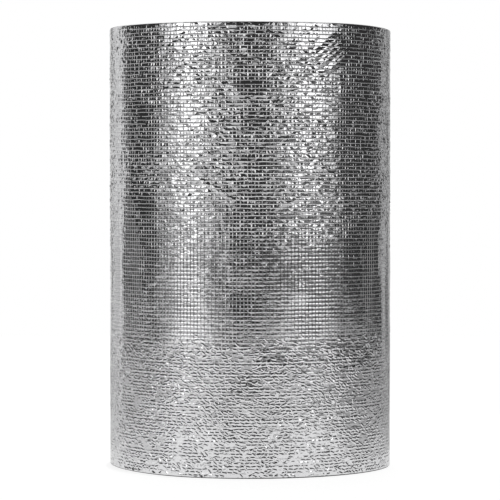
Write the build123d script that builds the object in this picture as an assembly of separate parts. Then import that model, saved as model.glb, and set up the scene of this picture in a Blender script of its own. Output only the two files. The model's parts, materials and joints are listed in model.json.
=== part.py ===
"""A roll of foil-faced insulation standing on its end: one wound sheet, its bore, its turns and its loose outer end.

Millimetres, +Z up. The origin is on the axis of the bore, in the plane that the roll stands on.
"""

import os
from math import cos, radians, sin

from build123d import *

# The sheet
SHEET_WIDTH = 600.0
SHEET_THICKNESS = 10.0

# How it is wound
BORE_DIAMETER = 76.0
TURN_COUNT = 14
TURN_GAP = 1.2
TAIL_ANGLE = 110.0

# How the ends show the winding
SEAM_DEPTH = 8.0
EDGE_ROUND = 2.5

# Far enough past a face for every cut to break through it
CUT_OVERRUN = 5.0

HALF_TURN = 180.0
BORE_RADIUS = BORE_DIAMETER / 2
TURN_PITCH = SHEET_THICKNESS + TURN_GAP
HALF_TURN_COUNT = 2 * TURN_COUNT

# The inner end is pressed thin under the second turn, so that the first turn holds as much sheet as any other.
START_THICKNESS = SHEET_THICKNESS - TURN_PITCH / 2

# The spiral is drawn in half turns about two centres, this far to either side of the bore's axis.
CENTRE_OFFSET = TURN_PITCH / 4


def on_tail_line(distance):
    """The point at that distance from the axis, towards the loose end."""
    return Vector(distance * cos(radians(TAIL_ANGLE)), distance * sin(radians(TAIL_ANGLE)))


def start_distance(index):
    """How far from the axis the sheet's outer face is where that half turn begins."""
    return BORE_RADIUS + START_THICKNESS + index * TURN_PITCH / 2


def outer_half_turn(index, lift=0):
    """The arc of the sheet's outer face over one half turn, moved out by lift."""
    begins_at_tail = index % 2 == 0
    centre = on_tail_line(-CENTRE_OFFSET if begins_at_tail else CENTRE_OFFSET)
    radius = start_distance(index) + CENTRE_OFFSET + lift
    start_angle = TAIL_ANGLE if begins_at_tail else TAIL_ANGLE + HALF_TURN
    return CenterArc(centre, radius, start_angle, HALF_TURN)


def end_outline():
    """The roll seen from its end: the last turn's outer face, and the step at the sheet's loose end."""
    last_turn = [outer_half_turn(index) for index in range(HALF_TURN_COUNT - 2, HALF_TURN_COUNT)]
    foot = start_distance(HALF_TURN_COUNT - 2)
    tail_edge = Line(on_tail_line(foot + TURN_PITCH), on_tail_line(foot))
    return make_face([*last_turn, tail_edge])


def seam_outline():
    """The slack between the turns, from the sheet's inner end to its loose end."""
    half_turns = range(HALF_TURN_COUNT - 2)
    inner_side = [outer_half_turn(index) for index in half_turns]
    outer_side = [outer_half_turn(index, TURN_GAP) for index in half_turns]
    ends = [start_distance(0), start_distance(HALF_TURN_COUNT - 2)]
    caps = [Line(on_tail_line(foot), on_tail_line(foot + TURN_GAP)) for foot in ends]
    return make_face([*inner_side, *outer_side, *caps])


def start_slot_outline():
    """The gap beside the sheet's inner end, from the bore out to where the spiral seam begins."""
    inner = BORE_RADIUS - CUT_OVERRUN
    outer = start_distance(0) + TURN_GAP
    middle = Location(on_tail_line((inner + outer) / 2), (0, 0, TAIL_ANGLE))
    beside_end = Location((0, -TURN_GAP / 2, 0))
    return middle * beside_end * Rectangle(outer - inner, TURN_GAP)


def insulation_roll():
    """The whole roll as one solid, with its bore, and with the seam between its turns cut into both ends."""
    roll = extrude(end_outline(), SHEET_WIDTH)
    end_rims = roll.edges().filter_by(GeomType.CIRCLE)
    roll = fillet(end_rims, EDGE_ROUND)
    bore = extrude(Circle(BORE_RADIUS), SHEET_WIDTH + 2 * CUT_OVERRUN)
    roll -= Pos(0, 0, -CUT_OVERRUN) * bore
    seam = extrude(seam_outline() + start_slot_outline(), SEAM_DEPTH + CUT_OVERRUN)
    roll -= Pos(0, 0, SHEET_WIDTH - SEAM_DEPTH) * seam
    roll -= Pos(0, 0, -CUT_OVERRUN) * seam
    return roll


os.makedirs("parts", exist_ok=True)
export_step(insulation_roll(), "parts/insulation_roll.step")
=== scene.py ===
"""The looks of the insulation roll: a sheet of foam, faced with foil over a fine square mesh, wound up.

Metres, in the part's own frame: +Z is up the roll's axis, and the photo is taken from -Y. An azimuth is how
far round the roll something is, in degrees: 0 in the middle of the photo's view, and 90 at its right.
"""

import json
from collections import namedtuple
from math import cos, pi, radians, sin

import bpy
import numpy as np
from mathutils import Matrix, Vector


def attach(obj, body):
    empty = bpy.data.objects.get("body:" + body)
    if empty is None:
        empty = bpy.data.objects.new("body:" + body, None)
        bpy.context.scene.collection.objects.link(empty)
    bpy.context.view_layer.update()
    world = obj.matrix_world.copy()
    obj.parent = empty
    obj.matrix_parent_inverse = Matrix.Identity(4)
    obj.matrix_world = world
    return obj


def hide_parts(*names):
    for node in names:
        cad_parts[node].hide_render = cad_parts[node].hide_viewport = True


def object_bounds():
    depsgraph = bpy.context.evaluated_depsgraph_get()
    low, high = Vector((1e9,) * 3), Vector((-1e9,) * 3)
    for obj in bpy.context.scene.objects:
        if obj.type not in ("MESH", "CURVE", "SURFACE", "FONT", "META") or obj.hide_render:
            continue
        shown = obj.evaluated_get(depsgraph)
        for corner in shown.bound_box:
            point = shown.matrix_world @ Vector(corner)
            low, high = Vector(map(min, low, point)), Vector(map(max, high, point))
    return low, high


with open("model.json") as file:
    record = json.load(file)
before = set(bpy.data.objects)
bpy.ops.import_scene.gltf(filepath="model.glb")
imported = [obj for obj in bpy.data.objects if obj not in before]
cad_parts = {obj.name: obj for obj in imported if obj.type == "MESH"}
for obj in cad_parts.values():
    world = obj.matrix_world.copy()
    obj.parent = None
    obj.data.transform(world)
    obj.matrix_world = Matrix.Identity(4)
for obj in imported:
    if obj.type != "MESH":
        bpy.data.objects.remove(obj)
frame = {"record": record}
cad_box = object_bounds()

# The middle of anything that goes from 0 to 1
MIDDLE_SHARE = 0.5

# The wound sheet, as the solid has it
MM_PER_METRE = 1000
SHEET_WIDTH = cad_box[1].z - cad_box[0].z
BORE_MOUNT = next(mount for mount in frame["record"]["mounts"] if mount["name"] == "bore")
BORE_RADIUS = BORE_MOUNT["dims"]["r_mm"] / MM_PER_METRE
SHEET_THICKNESS = 0.010
TURN_GAP = 0.0012
TURN_COUNT = 14
TAIL_ANGLE = radians(110)
FRONT_ANGLE = radians(270)
TURN_PITCH = SHEET_THICKNESS + TURN_GAP
START_THICKNESS = SHEET_THICKNESS - TURN_PITCH / 2
CENTRE_OFFSET = TURN_PITCH / 4
LAST_RADIUS = BORE_RADIUS + START_THICKNESS + (2 * TURN_COUNT - 1) * TURN_PITCH / 2 + CENTRE_OFFSET
LAST_BUT_ONE_RADIUS = LAST_RADIUS - TURN_PITCH / 2
OUTER_TURN_LENGTH = pi * (LAST_RADIUS + LAST_BUT_ONE_RADIUS)

# How unevenly it is wound: the shares are of one turn
SLACK = 0.0004
SLACK_LENGTH_SHARE = 0.11
SLACK_SEED = 1
EDGE_WANDER = 0.0010
EDGE_WANDER_SHARE = 0.3
LOWER_EDGE_SEED = 2
UPPER_EDGE_SEED = 3
TAIL_LIFT = 0.0015
TAIL_LIFT_SHARE = 0.03

# Where the outermost turn's rims stand back: round which azimuth, over what angle to each side, and how far
LOWER_RIM_LIFT = {"azimuth": -90, "spread": 70, "depth": 0.0032}
UPPER_RIM_DROP = {"azimuth": 90, "spread": 50, "depth": 0.0018}

# The edges of the sheet: how deep from its outer face, and how far in from its rim, each point is
RIM_CROWN = 0.0002
RIM_POINTS = [(0.0004, 0.0002), (0.0014, 0.0), (0.005, -RIM_CROWN), (0.0086, 0.0), (0.010, 0.0014)]
RIM_DROP = 0.0012
INNER_ROW_SHARES = [0.75, 0.5, 0.25]

# How finely the sheet is drawn: the hidden turns by rows and columns, and the outermost one by threads
COLUMNS_PER_TURN = 80
HIDDEN_ROW_SHARES = [0, 0.02, 0.25, 0.5, 0.75, 0.98, 1]
THREADS_UP = 118
THREADS_ROUND = 248
OVERLAP_THREADS = 2
SHOWN_THREADS = THREADS_ROUND + OVERLAP_THREADS

# The two finishes, by their place among the roll's materials
FOIL = 0
FOAM = 1

# How the mesh of the outermost turn is pulled about, at the threads' crossings and in the squares' middles
DRIFT = 0.0006
DRIFT_SIZE = 0.014
DRIFT_SEEDS = (14, 15)
CROSSING_JITTER = 0.0003
CROSSING_SEEDS = (21, 22, 23)
MIDDLE_JITTER = 0.0008
MIDDLE_SEEDS = (31, 32, 33)
LOST_THREAD_SHARE = 0.5
LOST_THREAD_SEED = 22

# The relief of the outermost turn: pits in the squares, crinkle in patches, and dents
PIT_DEPTH = 0.00008
PIT_LEAST_SHARE = 0.1
CRINKLE = 0.00026
CRINKLE_PATCH = (0.060, 0.045)
CRINKLE_PATCH_SEED = 13
CRINKLE_MEAN_SHARE = 0.6
CRINKLE_SWING_SHARE = 0.4
DENTS = [
    {"wide": 0.030, "tall": 0.035, "depth": 0.0004, "seed": 11},
    {"wide": 0.030, "tall": 0.090, "depth": 0.0006, "seed": 16},
]
SMALL_DENTS = {"wide": 0.011, "tall": 0.016, "depth": 0.0003, "seed": 12}
SIDE_DENTS = {"wide": 0.012, "tall": 0.045, "depth": 0.0004, "seed": 17}
STRAIGHT_SIDES = {"azimuths": (-90, 90), "spread": 35, "least_share": 0.1}
RIM_BAND = 0.001
DENT_RIM_BAND = 0.025
RIM_LEAST_SHARE = 0.4

# How the foil changes with height: shares of each form, and the threads' half widths and wavers in threads
ZONE_HEIGHTS = [0, 0.150, 0.192, 0.30, 0.37, 0.60]
CRINKLE_SHARES = [0.2, 0.2, 0.15, 0.25, 1, 1]
LEVEL_SHARES = [0.4, 0.4, 0.55, 0.55, 1.25, 1.25]
UPRIGHT_SHARES = [0.35, 0.35, 0.9, 0.9, 0.8, 0.8]
CREASE_SHARES = [0.1, 0.1, 0.2, 0.15, 0, 0]
DASH_SHARES = [0.95, 0.95, 0, 0, 0, 0]
LOST_SHARES = [0.8, 0.8, 0.05, 0.05, 0.25, 0.25]
THREAD_HALF_WIDTHS = [0.20, 0.20, 0.19, 0.19, 0.17, 0.17]
WAVERS = [0.8, 0.8, 0.15, 0.15, 0.25, 0.25]

# Calm spots and the share of the relief left in each. Below the last share the foil is shaded smooth.
CALM_SPOTS = [
    {"azimuth": 0, "height": 0.516, "half_wide": 0.020, "half_tall": 0.008, "left_share": 0.8},
    {"azimuth": 35, "height": 0.562, "half_wide": 0.018, "half_tall": 0.015, "left_share": 0.45},
    {"azimuth": -47, "height": 0.480, "half_wide": 0.008, "half_tall": 0.010, "left_share": 0.5},
    {"azimuth": -45, "height": 0.356, "half_wide": 0.010, "half_tall": 0.010, "left_share": 0.5},
]
SMOOTH_BELOW_SHARE = 0.9

# Bulges, each with how far it stands out
BULGES = [
    {"azimuth": 21, "height": 0.245, "half_wide": 0.020, "half_tall": 0.022, "rise": 0.0007},
    {"azimuth": -8, "height": 0.302, "half_wide": 0.030, "half_tall": 0.020, "rise": 0.0003},
    {"azimuth": 0, "height": 0.504, "half_wide": 0.034, "half_tall": 0.022, "rise": 0.0012},
]

# Longer wrinkles between two azimuths and heights, and the share of their length that each end tapers over
WRINKLES = [
    {"start": (24.6, 0.547), "end": (40.2, 0.588), "rise": 0.0012, "half_width": 0.0065},
    {"start": (27.6, 0.5385), "end": (43.2, 0.5795), "rise": 0.0012, "half_width": 0.0065},
    {"start": (30.6, 0.530), "end": (46.2, 0.571), "rise": 0.0012, "half_width": 0.0065},
    {"start": (-14, 0.514), "end": (15, 0.512), "rise": 0.0003, "half_width": 0.0050},
    {"start": (38, 0.535), "end": (40, 0.490), "rise": 0.0006, "half_width": 0.0050},
    {"start": (20, 0.430), "end": (34, 0.400), "rise": 0.0008, "half_width": 0.0050},
    {"start": (-22, 0.395), "end": (-8, 0.372), "rise": 0.0008, "half_width": 0.0050},
    {"start": (8, 0.352), "end": (24, 0.372), "rise": 0.0006, "half_width": 0.0050},
]
WRINKLE_TAPER_SHARE = 0.25

# The map that the sheet's finish is laid out on: most of it is for the part that shows
SHOWN_MAP_SHARE = 0.72
END_MAP_SHARE = 0.26
MAP_MARGIN_SHARE = 0.01
END_SPAN = 0.41

# The foil's finish: sizes are across and up in threads, heights in metres, and levels are those of a noise
FOIL_COLOUR = (0.70, 0.70, 0.71, 1)
FOIL_EDGE_TINT = (0.80, 0.80, 0.80, 1)
FOIL_ROUGHNESS = 0.06
THREAD_HEIGHT = 0.00027
WAVER_SIZE = (4.0, 1.3)
LEVEL_PATCH = (1.8, 0.9)
UPRIGHT_PATCH = (0.9, 1.3)
LOST_PATCH_LEVELS = (0.45, 0.55)
UPRIGHT_WIDTH_SHARE = 0.9
UPRIGHT_LOST_RATIO = 2.6
CREASE_HEIGHT = 0.0002
CREASE_SIZE = (0.5, 0.4)
CREASE_LEVELS = (0.3, 0.7)
FOIL_BUMP_DISTANCE = 1

# The foil's dashes, in layers. Their lengths, the steps between their rows and their starts are in threads.
DASH_LAYERS = [
    {"length": 1.5, "step": 0.8, "slants": (-0.5, 0.9), "start": (0, 0), "kept_share": 1.0},
    {"length": 1.2, "step": 1.1, "slants": (-0.7, 1.3), "start": (7.3, 5.6), "kept_share": 0.5},
]
DASH_HEIGHT = 0.0006
DASH_LEAST_SHARE = 0.7
DASH_HALF_WIDTH_SHARE = 0.39
DASH_FLAT_SHARE = 0.3
DASH_PATCH = (4.0, 2.0)
DASH_PATCH_LEVELS = (0.4, 0.6)
DASH_PATCH_LEAST_SHARE = 0.42

# The foam's finish
FOAM_COLOUR = (0.84, 0.85, 0.85, 1)
FOAM_ROUGHNESS = 0.75
FOAM_CELL = 0.0011
FOAM_CELL_DEPTH = 0.00015

# The studio's floor and world
WHITE = (1, 1, 1, 1)
FLOOR_RADIUS = 3.3
FLOOR_SIDES = 96
FLOOR_GLOW = 0.91
FLOOR_COLOUR = (0.1, 0.1, 0.1, 1)
FLOOR_ROUGHNESS = 0.8

# Curved walls that the foil mirrors and the camera doesn't see, each from one azimuth to another
PANEL_STEP = 3
DARK_TONE = 0.036
DIM_TONE = 0.12
LIGHT_TONE = 0.66
WALL_RADIUS = 5.6
WALL_BOTTOM = -1.0
WALL_TOP = 8.0
WALLS = [
    {"name": "dark_wall", "start": -126, "end": 134, "tone": DARK_TONE},
    {"name": "left_strip", "start": -160, "end": -153, "tone": DARK_TONE},
    {"name": "right_light_wall", "start": 134, "end": 147, "tone": LIGHT_TONE},
    {"name": "right_dim_wall", "start": 147, "end": 156, "tone": DIM_TONE},
    {"name": "right_back_wall", "start": 156, "end": 180, "tone": LIGHT_TONE},
]

# Panels of the same kind that lie on the floor: a dark ring of painted contact shadow under the roll, which
# the foil's lower rim mirrors, and two rings round it
CONTACT_SHADOW_RADII = (0.17, 0.196)
CONTACT_SHADOW_LEVEL = 0.00002
CONTACT_SHADOW_RINGS = [{"name": "painted_contact_shadow", "start": -180, "end": 180, "tone": 0.05}]
# The tones of the two rings round the roll are painted light and shade on the floor, which only the foil
# mirrors: the outer ring is lighter below the softboxes
FLOOR_PANEL_LEVEL = 0.002
OUTER_FLOOR_START = 0.93
NEAR_FLOOR_RADII = (0.30, OUTER_FLOOR_START)
NEAR_FLOORS = [
    {"name": "left_near_floor", "start": -180, "end": -60, "tone": 0.80},
    {"name": "right_near_floor", "start": 70, "end": 180, "tone": 0.60},
]
OUTER_FLOOR_RADII = (OUTER_FLOOR_START, FLOOR_RADIUS)
OUTER_FLOORS = [
    {"name": "left_outer_floor", "start": -180, "end": -62, "tone": 0.60},
    {"name": "left_light_outer_floor", "start": -62, "end": -28, "tone": 0.84},
    {"name": "middle_outer_floor", "start": -28, "end": 28, "tone": 0.58},
    {"name": "right_light_outer_floor", "start": 28, "end": 62, "tone": 0.64},
    {"name": "right_outer_floor", "start": 62, "end": 180, "tone": 0.36},
]

# Two softboxes, each with azimuths and tones for its levels and widths for its layers, and a lamp overhead
SOFTBOX_DISTANCE = 3.2
LAYER_GAP = 0.02
SOFTBOX_LEVELS = [0, 0.31, 0.50, 1.1]
LEFT_TONES = (0.085, 0.27, 0.52)
RIGHT_TONES = (0.03, 0.06, 0.46)
SOFTBOXES = [
    {"name": "left", "azimuths": (-47, -47, -47), "widths": (3.6, 2.7, 1.8, 0.9), "tones": LEFT_TONES},
    {"name": "right", "azimuths": (45, 45, 49), "widths": (3.6, 2.8, 2.0, 1.1), "tones": RIGHT_TONES},
]
TOP_LAMP_HEIGHT = 3.6
TOP_LAMP_WIDTH = 1.5
TOP_LAMP_TONE = 6.0

# The camera: its lens and sensor are in millimetres, and its tilt in degrees
LENS = 195.5
SENSOR = 36
CAMERA_DISTANCE = 3.74
EYE_HEIGHT = 0.379
LOOK_DOWN = 1.27
CAMERA_X = (cad_box[0].x + cad_box[1].x) / 2


def turns_at(azimuth):
    """How many turns the sheet has made where its last turn passes that azimuth."""
    return TURN_COUNT - 1 + (FRONT_ANGLE + radians(azimuth) - TAIL_ANGLE) / (2 * pi)


def winding(turns, lift):
    """Where the sheet's outer face is after that many turns, moved out by lift."""
    half_turn = np.clip(np.floor(2 * turns), 0, 2 * TURN_COUNT - 1)
    centre = np.where(half_turn % 2 == 0, -CENTRE_OFFSET, CENTRE_OFFSET)
    radius = BORE_RADIUS + START_THICKNESS + half_turn * TURN_PITCH / 2 + CENTRE_OFFSET + lift
    angle = TAIL_ANGLE + 2 * pi * turns
    x = centre * cos(TAIL_ANGLE) + radius * np.cos(angle)
    y = centre * sin(TAIL_ANGLE) + radius * np.sin(angle)
    return x, y


def eased(share):
    """A smooth step from 0 to 1."""
    share = np.clip(share, 0, 1)
    return share * share * (3 - 2 * share)


def at_least(least_share, share):
    """Goes from the least share to 1 while the other share goes from 0 to 1."""
    return least_share + (1 - least_share) * share


def noise(across, up, size_across, size_up, seed):
    """Smooth random values from -1 to 1 that change over about these sizes."""
    across, up = np.broadcast_arrays(across / size_across, up / size_up)
    columns = np.floor(across).astype(int)
    rows = np.floor(up).astype(int)
    first_column, first_row = columns.min(), rows.min()
    shape = (rows.max() - first_row + 2, columns.max() - first_column + 2)
    knots = np.random.default_rng(seed).uniform(-1, 1, shape)
    column_share, row_share = eased(across - columns), eased(up - rows)
    columns, rows = columns - first_column, rows - first_row
    below = knots[rows, columns] * (1 - column_share) + knots[rows, columns + 1] * column_share
    above = knots[rows + 1, columns] * (1 - column_share) + knots[rows + 1, columns + 1] * column_share
    return below * (1 - row_share) + above * row_share


def wander(turns, length_share, seed):
    """Smooth random values from -1 to 1 along the sheet that change over about that share of a turn."""
    return noise(turns, 0 * turns, length_share, length_share, seed)


def slack(turns):
    """How far the sheet stands out from an even winding, most of all at its loose end."""
    tail_lift = TAIL_LIFT * eased(1 - (TURN_COUNT - turns) / TAIL_LIFT_SHARE) ** 2
    return SLACK * wander(turns, SLACK_LENGTH_SHARE, SLACK_SEED) + tail_lift


def round_from(turns, azimuth, spread):
    """How far round a point is from where the last turn passes that azimuth, where 1 is the spread."""
    return np.abs(turns - turns_at(azimuth)) * 2 * pi / radians(spread)


def rim_change(turns, azimuth, spread, depth):
    """How far a rim of the outermost turn stands back round that azimuth."""
    return depth * (1 - eased(round_from(turns, azimuth, spread)))


def edge_wander(turns, seed):
    """How far an edge of the sheet stands back along its length."""
    return EDGE_WANDER * (1 + wander(turns, EDGE_WANDER_SHARE, seed)) / 2 + RIM_CROWN


def rims(turns):
    """The heights of the sheet's lower and upper rims."""
    lower = edge_wander(turns, LOWER_EDGE_SEED) + rim_change(turns, **LOWER_RIM_LIFT)
    upper = SHEET_WIDTH - edge_wander(turns, UPPER_EDGE_SEED) - rim_change(turns, **UPPER_RIM_DROP)
    return lower, upper


def foil_heights(turns):
    """The heights of the lower and upper ends of the sheet's outer face."""
    lower, upper = rims(turns)
    return lower + RIM_DROP, upper - RIM_DROP


def rim_share(turns, up, band):
    """From 0 at a rim to 1 where the band along it ends."""
    lower, upper = foil_heights(turns)
    return eased(np.minimum(up - lower, upper - up) / band)


def held_by_rim(turns, up, band):
    """The share of the relief that is left beside a rim."""
    return at_least(RIM_LEAST_SHARE, rim_share(turns, up, band))


def by_height(up, values):
    """One of the values that change with height, at these heights."""
    return np.interp(up, ZONE_HEIGHTS, values)


def beyond(turns, up, azimuth, height, half_wide, half_tall):
    """How far a point is from a spot's middle, where 1 is the spot's own size."""
    across = (turns - turns_at(azimuth)) * OUTER_TURN_LENGTH / half_wide
    return np.hypot(across, (up - height) / half_tall)


def left_by_spot(turns, up, azimuth, height, half_wide, half_tall, left_share):
    """The share of the relief that one calm spot leaves: all of it from twice the spot's size on."""
    return at_least(left_share, eased(beyond(turns, up, azimuth, height, half_wide, half_tall) - 1))


def calm(turns, up):
    """The share of the relief that all the calm spots leave."""
    share = 1
    for spot in CALM_SPOTS:
        share = share * left_by_spot(turns, up, **spot)
    return share


def crinkled(turns, up):
    """How much of the most the foil is crinkled there."""
    patches = noise(turns * OUTER_TURN_LENGTH, up, *CRINKLE_PATCH, CRINKLE_PATCH_SEED)
    patch_share = CRINKLE_MEAN_SHARE + CRINKLE_SWING_SHARE * patches
    return by_height(up, CRINKLE_SHARES) * patch_share * calm(turns, up)


def dented(turns):
    """How much of the most the sheet is dented there: it is drawn straighter at the roll's two sides."""
    share = 1
    for azimuth in STRAIGHT_SIDES["azimuths"]:
        away = eased(round_from(turns, azimuth, STRAIGHT_SIDES["spread"]))
        share = share * at_least(STRAIGHT_SIDES["least_share"], away)
    return share


def dents(across, up, wide, tall, depth, seed):
    """How far smooth dents and swellings of about that size stand out."""
    return depth * noise(across, up, wide, tall, seed)


def bulge(turns, up, azimuth, height, half_wide, half_tall, rise):
    """How far one bulge stands out."""
    return rise * (1 - eased(beyond(turns, up, azimuth, height, half_wide, half_tall)))


def wrinkle(turns, up, start, end, rise, half_width):
    """How far one wrinkle between those two points stands out."""
    (start_azimuth, start_up), (end_azimuth, end_up) = start, end
    start_across = turns_at(start_azimuth) * OUTER_TURN_LENGTH
    run = turns_at(end_azimuth) * OUTER_TURN_LENGTH - start_across
    climb = end_up - start_up
    length = np.hypot(run, climb)
    across_from_start = turns * OUTER_TURN_LENGTH - start_across
    up_from_start = up - start_up
    along = (across_from_start * run + up_from_start * climb) / length
    aside = (up_from_start * run - across_from_start * climb) / length
    taper = eased(np.minimum(along, length - along) / (WRINKLE_TAPER_SHARE * length))
    return rise * taper * (1 - eased(np.abs(aside) / half_width))


def relief(turns, up, crinkle_seed):
    """How far the foil on the outermost turn stands out or is dented."""
    across = turns * OUTER_TURN_LENGTH
    front = sum(dents(across, up, **values) for values in DENTS) * dented(turns)
    sides = dents(across, up, **SIDE_DENTS) * (1 - dented(turns))
    broad = (front + sides) * held_by_rim(turns, up, DENT_RIM_BAND)
    crinkle = CRINKLE * np.random.default_rng(crinkle_seed).normal(0, 1, across.shape)
    small = dents(across, up, **SMALL_DENTS)
    fine = (small + crinkle) * crinkled(turns, up) * held_by_rim(turns, up, RIM_BAND)
    wrinkles = sum(wrinkle(turns, up, **values) for values in WRINKLES)
    bulges = sum(bulge(turns, up, **values) for values in BULGES)
    return broad + fine + (wrinkles + bulges)


def shifted(turns, up, jitter, seed):
    """Where points of the outermost turn lie once the mesh is pulled about, all but those at its edges."""
    across = turns * OUTER_TURN_LENGTH
    pulls = np.random.default_rng(seed).uniform(-jitter, jitter, (2, *turns.shape))
    drifts = [DRIFT * noise(across, up, DRIFT_SIZE, DRIFT_SIZE, drift_seed) for drift_seed in DRIFT_SEEDS]
    inside = np.zeros(turns.shape)
    inside[1:-1, 1:-1] = 1
    across_move, up_move = (inside * (drift + pull) for drift, pull in zip(drifts, pulls))
    return turns + across_move / OUTER_TURN_LENGTH, up + up_move


Patch = namedtuple("Patch", "faces region material smooth")


class Sheet:
    """The points and faces of the wound sheet, gathered patch by patch."""

    def __init__(self):
        self.points = []
        self.turns = []
        self.patches = []
        self.count = 0

    def add_points(self, turns, lift, height):
        """Adds a grid of points and returns their numbers in the same grid."""
        turns, lift, height = np.broadcast_arrays(turns, lift, height)
        x, y = winding(turns, lift)
        self.points.append(np.stack([x, y, height], axis=-1).reshape(-1, 3))
        self.turns.append(turns.reshape(-1))
        numbers = self.count + np.arange(turns.size).reshape(turns.shape)
        self.count += turns.size
        return numbers

    def add_faces(self, faces, region, material, smooth):
        """Adds faces with equally many corners, each a row of point numbers."""
        faces = np.asarray(faces)
        self.patches.append(Patch(faces.reshape(-1, faces.shape[-1]), region, material, smooth))

    def add_grid(self, numbers, region, material):
        """Adds smooth faces between neighbouring points of a grid."""
        corners = [numbers[:-1, :-1], numbers[:-1, 1:], numbers[1:, 1:], numbers[1:, :-1]]
        self.add_faces(np.stack(corners, axis=-1), region, material, smooth=True)


def hidden_face(sheet, turns):
    """The foil of the turns that lie under the outermost one."""
    lower, upper = foil_heights(turns)
    heights = lower + np.array(HIDDEN_ROW_SHARES)[:, None] * (upper - lower)
    numbers = sheet.add_points(turns, slack(turns), heights)
    sheet.add_grid(numbers, "hidden", FOIL)
    return numbers


def shown_points(sheet, turns, shares, jitter, sink, seeds):
    """Points of the outermost turn's foil at those shares of its width, pulled about and sunk."""
    shift_seed, pit_seed, crinkle_seed = seeds
    lower, upper = foil_heights(turns)
    heights = lower + shares[:, None] * (upper - lower)
    turns, heights = shifted(turns + 0 * heights, heights, jitter, shift_seed)
    pits = sink * np.random.default_rng(pit_seed).uniform(PIT_LEAST_SHARE, 1, turns.shape)
    return sheet.add_points(turns, slack(turns) + relief(turns, heights, crinkle_seed) - pits, heights)


def triangles(*corners):
    """Triangles whose corners are these three grids of point numbers."""
    return np.stack(corners, axis=-1)


def shown_triangles(crossings, middles):
    """The triangles between those points, which lie across an upright thread where it is lost."""
    left, right = crossings[:, :-1], crossings[:, 1:]
    on_level = [triangles(left[:-1], right[:-1], middles), triangles(right[1:], left[1:], middles)]

    below, above = crossings[:-1, 1:-1], crossings[1:, 1:-1]
    left, right = middles[:, :-1], middles[:, 1:]
    lost = (np.random.default_rng(LOST_THREAD_SEED).random(left.shape) < LOST_THREAD_SHARE)[..., None]
    on_upright = [
        np.where(lost, triangles(below, right, left), triangles(below, above, left)),
        np.where(lost, triangles(above, left, right), triangles(above, below, right)),
    ]

    first, last = crossings[:, 0], crossings[:, -1]
    at_ends = [
        triangles(first[1:], first[:-1], middles[:, 0]),
        triangles(last[:-1], last[1:], middles[:, -1]),
    ]
    return on_level + on_upright + at_ends


def shown_face(sheet, turns):
    """The foil of the outermost turn: a point at each crossing of the threads, and one in each square."""
    shares = np.linspace(0, 1, THREADS_UP + 1)
    crossings = shown_points(sheet, turns, shares, CROSSING_JITTER, 0, CROSSING_SEEDS)
    middle_turns = (turns[:-1] + turns[1:]) / 2
    middle_shares = (shares[:-1] + shares[1:]) / 2
    middles = shown_points(sheet, middle_turns, middle_shares, MIDDLE_JITTER, PIT_DEPTH, MIDDLE_SEEDS)
    for faces in shown_triangles(crossings, middles):
        sheet.add_faces(faces, "shown", FOIL, smooth=False)
    return crossings


def stitched(left, right, left_heights, right_heights):
    """Triangles between two columns of points, of which one has more points than the other."""
    faces = []
    low, high = 0, 0
    while low + 1 < len(left) or high + 1 < len(right):
        right_is_next = high + 1 < len(right) and (
            low + 1 == len(left) or right_heights[high + 1] <= left_heights[low + 1]
        )
        if right_is_next:
            faces.append((left[low], right[high], right[high + 1]))
            high += 1
        else:
            faces.append((left[low], right[high], left[low + 1]))
            low += 1
    return faces


def back_and_edges(sheet, turns, lower_ends, upper_ends):
    """The upper edge, the inner face and the lower edge of the sheet, between the ends of its outer face."""
    lower, upper = rims(turns)
    stand = slack(turns)
    axis_distance = np.hypot(*winding(turns, stand))
    thickness = np.minimum(SHEET_THICKNESS, axis_distance - BORE_RADIUS)
    squeeze = thickness / SHEET_THICKNESS
    rows = [upper_ends]
    for deep, drop in RIM_POINTS:
        rows.append(sheet.add_points(turns, stand - deep * squeeze, upper - drop))
    for share in INNER_ROW_SHARES:
        rows.append(sheet.add_points(turns, stand - thickness, lower + share * (upper - lower)))
    for deep, drop in reversed(RIM_POINTS):
        rows.append(sheet.add_points(turns, stand - deep * squeeze, lower + drop))
    rows.append(lower_ends)
    numbers = np.stack(rows)
    edge_rows = len(RIM_POINTS) + 1
    sheet.add_grid(numbers[:2], "upper_end", FOIL)
    sheet.add_grid(numbers[1:edge_rows], "upper_end", FOAM)
    sheet.add_grid(numbers[edge_rows - 1 : -edge_rows + 1], "inner", FOAM)
    sheet.add_grid(numbers[-edge_rows:-1], "lower_end", FOAM)
    sheet.add_grid(numbers[-2:], "lower_end", FOIL)
    return numbers


def wound_sheet():
    """The whole sheet, from its inner end in the bore to its loose end at the back."""
    sheet = Sheet()
    shown_turns = TURN_COUNT - np.arange(SHOWN_THREADS, -1, -1) / THREADS_ROUND
    hidden_count = (TURN_COUNT - 1) * COLUMNS_PER_TURN
    hidden_turns = np.linspace(0, shown_turns[0], hidden_count + 1)[:-1]
    hidden = hidden_face(sheet, hidden_turns)
    shown = shown_face(sheet, shown_turns)
    heights = np.concatenate(sheet.points)[:, 2]
    seam = stitched(hidden[:, -1], shown[:, 0], heights[hidden[:, -1]], heights[shown[:, 0]])
    sheet.add_faces(seam, "hidden", FOIL, smooth=True)
    all_turns = np.concatenate([hidden_turns, shown_turns])
    lower_ends = np.concatenate([hidden[0], shown[0]])
    upper_ends = np.concatenate([hidden[-1], shown[-1]])
    rest = back_and_edges(sheet, all_turns, lower_ends, upper_ends)
    start_ring = np.concatenate([hidden[:, 0], rest[1:-1, 0]])
    sheet.add_faces(start_ring[None], "inner", FOAM, smooth=False)
    tail_ring = np.concatenate([shown[:, -1], rest[1:-1, -1]])
    sheet.add_faces(tail_ring[None, ::-1], "inner", FOAM, smooth=False)
    return sheet


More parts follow.
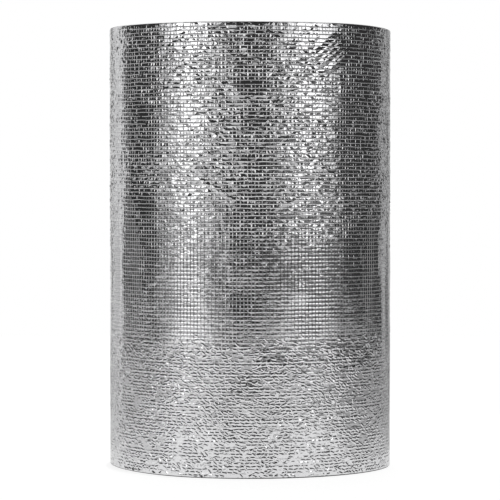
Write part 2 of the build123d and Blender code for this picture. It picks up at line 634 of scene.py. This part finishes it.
def map_places(points, turns, region):
    """Where these points lie on the map, from 0 to 1 each way."""
    up = points[:, 2] / SHEET_WIDTH
    if region == "shown":
        across = (turns - TURN_COUNT) * THREADS_ROUND / SHOWN_THREADS + 1
        return np.stack([across, up * SHOWN_MAP_SHARE], axis=-1)
    top = SHOWN_MAP_SHARE + MAP_MARGIN_SHARE
    if region in ("upper_end", "lower_end"):
        left = MAP_MARGIN_SHARE if region == "upper_end" else END_MAP_SHARE + 2 * MAP_MARGIN_SHARE
        return np.array([left, top]) + END_MAP_SHARE * (MIDDLE_SHARE + points[:, :2] / END_SPAN)
    left = 2 * END_MAP_SHARE + 3 * MAP_MARGIN_SHARE
    half = END_MAP_SHARE / 2
    bottom = top if region == "inner" else top + half
    across = left + (1 - MAP_MARGIN_SHARE - left) * turns / TURN_COUNT
    return np.stack([across, bottom + (half - MAP_MARGIN_SHARE) * up], axis=-1)


def lay_map(mesh, sheet, points, turns):
    """Gives each face its place on the map."""
    places = []
    for patch in sheet.patches:
        places.append(map_places(points, turns, patch.region)[patch.faces].reshape(-1, 2))
    layer = mesh.uv_layers.new(name="OFBake")
    layer.data.foreach_set("uv", np.concatenate(places).astype(np.float32).ravel())


def set_finishes(mesh, sheet, points, turns):
    """Gives each face its material, and smooth shading if its patch has that or it lies in a calm spot."""
    slots = np.concatenate([np.full(len(patch.faces), patch.material) for patch in sheet.patches])
    mesh.polygons.foreach_set("material_index", slots.astype(np.int32))
    is_calm = calm(turns, points[:, 2]) < SMOOTH_BELOW_SHARE
    smooth = [patch.smooth | is_calm[patch.faces].all(axis=1) for patch in sheet.patches]
    mesh.polygons.foreach_set("use_smooth", np.concatenate(smooth))


def add_vectors(mesh, name, *values):
    """Stores three values with each point, for the finish to read."""
    layer = mesh.attributes.new(name, "FLOAT_VECTOR", "POINT")
    layer.data.foreach_set("vector", np.stack(values, axis=-1).astype(np.float32).ravel())


def store_finish(mesh, points, turns):
    """Stores with each point its place in threads, the creases' share, and how its threads and dashes are."""
    up = points[:, 2]
    lower, upper = foil_heights(turns)
    threads_up = (up - lower) / (upper - lower) * THREADS_UP
    pressed = rim_share(turns, up, RIM_BAND) * calm(turns, up)
    shares = [by_height(up, values) * pressed for values in (LEVEL_SHARES, UPRIGHT_SHARES, DASH_SHARES)]
    threads = [by_height(up, values) for values in (THREAD_HALF_WIDTHS, WAVERS, LOST_SHARES)]
    crease_share = by_height(up, CREASE_SHARES) * pressed
    add_vectors(mesh, "sheet_place", turns * THREADS_ROUND, threads_up, crease_share)
    add_vectors(mesh, "sheet_shares", *shares)
    add_vectors(mesh, "sheet_threads", *threads)


def add_object(name, data):
    """Puts an object with that mesh, light or camera into the scene."""
    thing = bpy.data.objects.new(name, data)
    bpy.context.collection.objects.link(thing)
    return thing


def sheet_object(sheet, name, materials):
    """Makes the Blender object of a gathered sheet."""
    points = np.concatenate(sheet.points)
    turns = np.concatenate(sheet.turns)
    faces = [face for patch in sheet.patches for face in patch.faces.tolist()]
    mesh = bpy.data.meshes.new(name)
    mesh.from_pydata(points.tolist(), [], faces)
    for material in materials:
        mesh.materials.append(material)
    lay_map(mesh, sheet, points, turns)
    set_finishes(mesh, sheet, points, turns)
    store_finish(mesh, points, turns)
    mesh.validate()
    return add_object(name, mesh)


class Nodes:
    """A material's node tree, with short ways to add to it."""

    def __init__(self, name):
        self.material = bpy.data.materials.new(name)
        self.material.use_nodes = True
        self.tree = self.material.node_tree
        self.shader = self.tree.nodes["Principled BSDF"]

    def set(self, values):
        """Sets some of the shader's own values."""
        for name, value in values.items():
            self.shader.inputs[name].default_value = value

    def add(self, kind, inputs=None, **settings):
        """Adds a node with these settings, and links or sets its inputs."""
        node = self.tree.nodes.new(kind)
        for key, value in settings.items():
            setattr(node, key, value)
        for key, value in (inputs or {}).items():
            self.join(value, node.inputs[key])
        return node

    def join(self, value, socket):
        """Links an output to a socket, or sets the socket to a plain value."""
        if isinstance(value, bpy.types.NodeSocket):
            self.tree.links.new(value, socket)
        else:
            socket.default_value = value

    def maths(self, operation, *values):
        """The output of one sum."""
        return self.add("ShaderNodeMath", dict(enumerate(values)), operation=operation).outputs[0]

    def vector(self, operation, *values):
        """The output of one sum of vectors."""
        return self.add("ShaderNodeVectorMath", dict(enumerate(values)), operation=operation).outputs[0]

    def attribute(self, name):
        """A vector that is stored with the mesh."""
        return self.add("ShaderNodeAttribute", attribute_name=name).outputs["Vector"]

    def split(self, vector):
        """The three parts of a vector."""
        return self.add("ShaderNodeSeparateXYZ", {0: vector}).outputs

    def noise(self, vector, sizes):
        """Smooth noise over the sheet that changes over about these sizes, across and up."""
        scaled = self.vector("DIVIDE", vector, (*sizes, 1))
        inputs = {"Vector": scaled, "Scale": 1, "Detail": 0}
        return self.add("ShaderNodeTexNoise", inputs, noise_dimensions="2D").outputs

    def ranged(self, value, span, values, way="SMOOTHSTEP"):
        """Goes from the first value to the last while the input goes over the span."""
        start, end = span
        first, last = values
        limits = {"From Min": start, "From Max": end, "To Min": first, "To Max": last}
        return self.add("ShaderNodeMapRange", {"Value": value, **limits}, interpolation_type=way).outputs[0]

    def bump(self, height, distance):
        """Gives the surface a relief of that height times that distance."""
        bump = self.add("ShaderNodeBump", {"Height": height, "Distance": distance, "Strength": 1})
        self.join(bump.outputs[0], self.shader.inputs["Normal"])


def wavering(nodes, place, waver):
    """The place, moved to and fro so that the threads aren't straight."""
    sway = nodes.vector("SUBTRACT", nodes.noise(place, WAVER_SIZE)["Color"], [MIDDLE_SHARE] * 3)
    return nodes.vector("MULTIPLY_ADD", sway, waver, place)


def threads(nodes, place, side, share, half_width, lost_share, patch):
    """The height of the threads that run one way, lower in the patches where they are lost."""
    from_thread = nodes.maths("PINGPONG", side, MIDDLE_SHARE)
    ridge = nodes.ranged(from_thread, (0, half_width), (THREAD_HEIGHT, 0), "LINEAR")
    patches = nodes.ranged(nodes.noise(place, patch)[0], LOST_PATCH_LEVELS, (0, 1))
    lost = nodes.maths("MULTIPLY", patches, lost_share)
    kept = nodes.maths("MULTIPLY", share, nodes.maths("SUBTRACT", 1, lost))
    return nodes.maths("MULTIPLY", ridge, kept)


def dashes(nodes, place, share, length, step, slants, start, kept_share):
    """The height of one layer of dashes, which lie in rows, each with its own slant and height."""
    moved = nodes.vector("ADD", place, (*start, 0))
    across, up, _ = nodes.split(nodes.vector("DIVIDE", moved, (length, step, 1)))
    row = nodes.maths("FLOOR", up)
    row_start = nodes.add("ShaderNodeTexWhiteNoise", {"W": row}, noise_dimensions="1D").outputs["Value"]
    along = nodes.maths("ADD", across, row_start)
    own = nodes.add("ShaderNodeCombineXYZ", {0: nodes.maths("FLOOR", along), 1: row}).outputs[0]
    own_noise = nodes.add("ShaderNodeTexWhiteNoise", {"Vector": own}, noise_dimensions="2D")
    slant_chance, size_chance, kept_chance = nodes.split(own_noise.outputs["Color"])
    slant = nodes.ranged(slant_chance, (0, 1), slants, "LINEAR")
    from_middle = nodes.maths("SUBTRACT", nodes.maths("FRACT", along), MIDDLE_SHARE)
    from_row = nodes.maths("SUBTRACT", nodes.maths("FRACT", up), MIDDLE_SHARE)
    aside = nodes.maths("ABSOLUTE", nodes.maths("MULTIPLY_ADD", from_middle, slant, from_row))
    ridge = nodes.ranged(aside, (0, DASH_HALF_WIDTH_SHARE), (DASH_HEIGHT, 0), "LINEAR")
    to_end = nodes.maths("ABSOLUTE", from_middle)
    ends = nodes.ranged(to_end, (DASH_FLAT_SHARE, MIDDLE_SHARE), (1, 0), "LINEAR")
    size = nodes.ranged(size_chance, (0, 1), (DASH_LEAST_SHARE, 1), "LINEAR")
    is_kept = nodes.maths("GREATER_THAN", nodes.maths("MULTIPLY", share, kept_share), kept_chance)
    tapered = nodes.maths("MULTIPLY", ridge, ends)
    return nodes.maths("MULTIPLY", tapered, nodes.maths("MULTIPLY", size, is_kept))


def dash_layers(nodes, place, share):
    """The height of each layer of dashes, which are fewer in some patches."""
    patches = nodes.noise(place, DASH_PATCH)[0]
    patch_share = nodes.ranged(patches, DASH_PATCH_LEVELS, (DASH_PATCH_LEAST_SHARE, 1))
    share = nodes.maths("MULTIPLY", share, patch_share)
    return [dashes(nodes, place, share, **layer) for layer in DASH_LAYERS]


def creases(nodes, place):
    """The height of fine creases."""
    rise = nodes.ranged(nodes.noise(place, CREASE_SIZE)[0], CREASE_LEVELS, (0, CREASE_HEIGHT), "LINEAR")
    return nodes.maths("MULTIPLY", rise, nodes.split(place)[2])


def foil_height(nodes):
    """How far the foil stands out over the highest of its threads, dashes and creases."""
    place = nodes.attribute("sheet_place")
    level_share, upright_share, dash_share = nodes.split(nodes.attribute("sheet_shares"))
    half_width, waver, lost_share = nodes.split(nodes.attribute("sheet_threads"))
    across, up, _ = nodes.split(wavering(nodes, place, waver))
    upright_width = nodes.maths("MULTIPLY", half_width, UPRIGHT_WIDTH_SHARE)
    upright_lost = nodes.maths("MINIMUM", nodes.maths("MULTIPLY", lost_share, UPRIGHT_LOST_RATIO), 1)
    height = threads(nodes, place, up, level_share, half_width, lost_share, LEVEL_PATCH)
    others = [
        threads(nodes, place, across, upright_share, upright_width, upright_lost, UPRIGHT_PATCH),
        *dash_layers(nodes, place, dash_share),
        creases(nodes, place),
    ]
    for other in others:
        height = nodes.maths("MAXIMUM", height, other)
    return height


def foil_material():
    """Bright aluminium foil, pressed onto the threads and finely crinkled."""
    nodes = Nodes("crinkled_foil")
    nodes.set({"Metallic": 1, "Base Color": FOIL_COLOUR, "Specular Tint": FOIL_EDGE_TINT})
    nodes.set({"Roughness": FOIL_ROUGHNESS})
    nodes.bump(foil_height(nodes), FOIL_BUMP_DISTANCE)
    return nodes.material


def foam_material():
    """White closed-cell foam, cut square."""
    nodes = Nodes("white_foam")
    nodes.set({"Base Color": FOAM_COLOUR, "Roughness": FOAM_ROUGHNESS})
    place = nodes.add("ShaderNodeTexCoord").outputs["Object"]
    cells = nodes.add("ShaderNodeTexVoronoi", {"Vector": place, "Scale": 1 / FOAM_CELL})
    nodes.bump(cells.outputs[0], FOAM_CELL_DEPTH)
    return nodes.material


def direction(azimuth):
    """The level direction at that azimuth."""
    return sin(radians(azimuth)), -cos(radians(azimuth))


def glowing_material(name, tone):
    """A plain even glow."""
    material = bpy.data.materials.new(name)
    material.use_nodes = True
    tree = material.node_tree
    tree.nodes.clear()
    glow = tree.nodes.new("ShaderNodeEmission")
    glow.inputs["Color"].default_value = (tone, tone, tone, 1)
    output = tree.nodes.new("ShaderNodeOutputMaterial")
    tree.links.new(glow.outputs[0], output.inputs["Surface"])
    return material


def stage_mesh(name, points, faces, material):
    """Adds a piece of the studio."""
    mesh = bpy.data.meshes.new(name)
    mesh.from_pydata(points, [], faces)
    mesh.materials.append(material)
    thing = add_object(name, mesh)
    return thing


def panel(name, start, end, inner, outer, tone):
    """A curved panel between two radii and heights, which the foil mirrors and the camera doesn't see."""
    azimuths = np.arange(start, end + PANEL_STEP, PANEL_STEP).clip(start, end)
    points = []
    for azimuth in azimuths:
        across, away = direction(azimuth)
        for radius, height in (inner, outer):
            points.append((radius * across, radius * away, height))
    faces = [(first, first + 2, first + 3, first + 1) for first in range(0, len(points) - 2, 2)]
    thing = stage_mesh(name, points, faces, glowing_material(name, tone))
    thing.visible_camera = False
    thing.visible_shadow = False


def walls():
    """The curved walls round the studio."""
    for values in WALLS:
        panel(inner=(WALL_RADIUS, WALL_BOTTOM), outer=(WALL_RADIUS, WALL_TOP), **values)


def floor_ring(panels, radii, level):
    """Panels that lie on the floor between two radii."""
    for values in panels:
        panel(inner=(radii[0], level), outer=(radii[1], level), **values)


def floor():
    """A white floor that keeps a soft shadow."""
    turns = [2 * pi * side / FLOOR_SIDES for side in range(FLOOR_SIDES)]
    points = [(FLOOR_RADIUS * cos(turn), FLOOR_RADIUS * sin(turn), 0) for turn in turns]
    nodes = Nodes("white_floor")
    nodes.set({"Base Color": FLOOR_COLOUR, "Roughness": FLOOR_ROUGHNESS, "Emission Color": WHITE})
    path = nodes.add("ShaderNodeLightPath")
    seen = nodes.maths("MAXIMUM", path.outputs["Is Camera Ray"], path.outputs["Is Glossy Ray"])
    seen = nodes.maths("MAXIMUM", seen, path.outputs["Is Transmission Ray"])
    nodes.join(nodes.maths("MULTIPLY", seen, FLOOR_GLOW), nodes.shader.inputs["Emission Strength"])
    stage_mesh("floor", points, [tuple(range(FLOOR_SIDES))], nodes.material)


def lamp(name, wide, tall, tone, place, turn):
    """One flat lamp of an even tone, which the camera doesn't see."""
    light = bpy.data.lights.new(name, "AREA")
    light.shape = "RECTANGLE"
    light.size = wide
    light.size_y = tall
    light.energy = tone * pi * wide * tall
    thing = add_object(name, light)
    thing.location = place
    thing.rotation_euler = turn
    thing.visible_camera = False
    return thing


def softbox(name, azimuths, widths, tones):
    """A large soft lamp, brighter higher up, in layers so that it is brightest along its middle."""
    levels = list(zip(azimuths, SOFTBOX_LEVELS, SOFTBOX_LEVELS[1:], tones))
    for layer, wide in enumerate(widths):
        distance = SOFTBOX_DISTANCE - LAYER_GAP * layer
        for level, (azimuth, bottom, top, tone) in enumerate(levels):
            across, away = direction(azimuth)
            place = (distance * across, distance * away, (bottom + top) / 2)
            turn = (pi / 2, 0, radians(azimuth))
            lamp(f"{name}_softbox_{layer}_{level}", wide, top - bottom, tone, place, turn)


def top_lamp():
    """A soft lamp overhead, which lights the upper end and isn't mirrored in the foil."""
    place = (0, 0, TOP_LAMP_HEIGHT)
    thing = lamp("top_lamp", TOP_LAMP_WIDTH, TOP_LAMP_WIDTH, TOP_LAMP_TONE, place, (0, 0, 0))
    thing.visible_glossy = False


def white_world():
    """White all round, wherever the studio's walls don't reach."""
    world = bpy.data.worlds.new("white")
    bpy.context.scene.world = world
    world.use_nodes = True
    world.node_tree.nodes["Background"].inputs["Color"].default_value = WHITE


def camera():
    """A camera that sees the roll as the photo does."""
    data = bpy.data.cameras.new("camera")
    data.lens = LENS
    data.sensor_width = SENSOR
    thing = add_object("camera", data)
    thing.location = (CAMERA_X, -CAMERA_DISTANCE, EYE_HEIGHT)
    thing.rotation_euler = (pi / 2 - radians(LOOK_DOWN), 0, 0)
    bpy.context.scene.camera = thing


# The roll
roll = sheet_object(wound_sheet(), "rolled_sheet", [foil_material(), foam_material()])
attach(roll, "root")
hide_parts("insulation_roll")

# The studio
walls()
# A dark ring of painted contact shadow under the roll, which only the foil mirrors
floor_ring(CONTACT_SHADOW_RINGS, CONTACT_SHADOW_RADII, CONTACT_SHADOW_LEVEL)
# Rings of painted light and shade on the floor, which only the foil mirrors
floor_ring(NEAR_FLOORS, NEAR_FLOOR_RADII, FLOOR_PANEL_LEVEL)
floor_ring(OUTER_FLOORS, OUTER_FLOOR_RADII, FLOOR_PANEL_LEVEL)
for values in SOFTBOXES:
    softbox(**values)
top_lamp()
floor()
white_world()
camera()
bpy.context.scene.view_settings.view_transform = "Standard"
